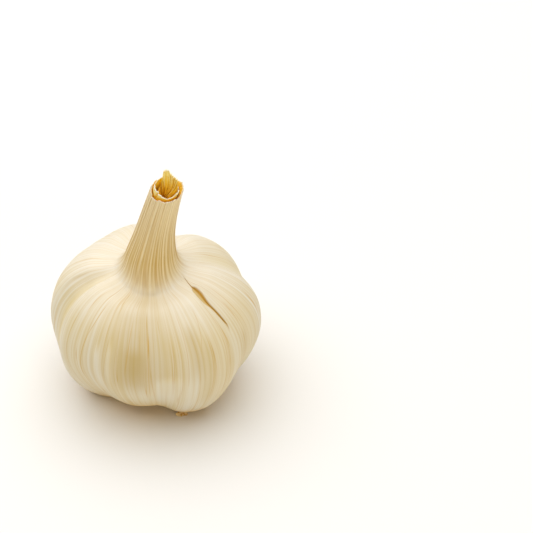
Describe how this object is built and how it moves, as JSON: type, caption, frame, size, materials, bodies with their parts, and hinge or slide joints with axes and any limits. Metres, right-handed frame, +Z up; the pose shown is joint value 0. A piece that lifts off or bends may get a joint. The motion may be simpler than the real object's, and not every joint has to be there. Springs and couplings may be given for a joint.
{
  "type": "garlic bulb",
  "caption": "Whole dry garlic bulb with a lobed papery skin, a leaning ribbed neck cut open at the top, and a trimmed root plate underneath.",
  "frame": {"origin": "on the resting surface, under the middle of the bulb's box", "axes": "+Z up along the bulb, from the root plate to the neck; -Y is the front, towards which the neck's cut slopes; the neck leans towards +X"},
  "size_m": [0.0618, 0.061, 0.0791],
  "materials": {
    "outer_skin": "matte",
    "inner_sheath_skin": "matte",
    "stalk_fibre": "matte",
    "root_wood": "matte"
  },
  "bodies": {
    "root": {"bulb": "outer_skin", "inner_sheath": "inner_sheath_skin", "neck_core": "stalk_fibre", "root_plate": "root_wood"}
  },
  "joints": []
}
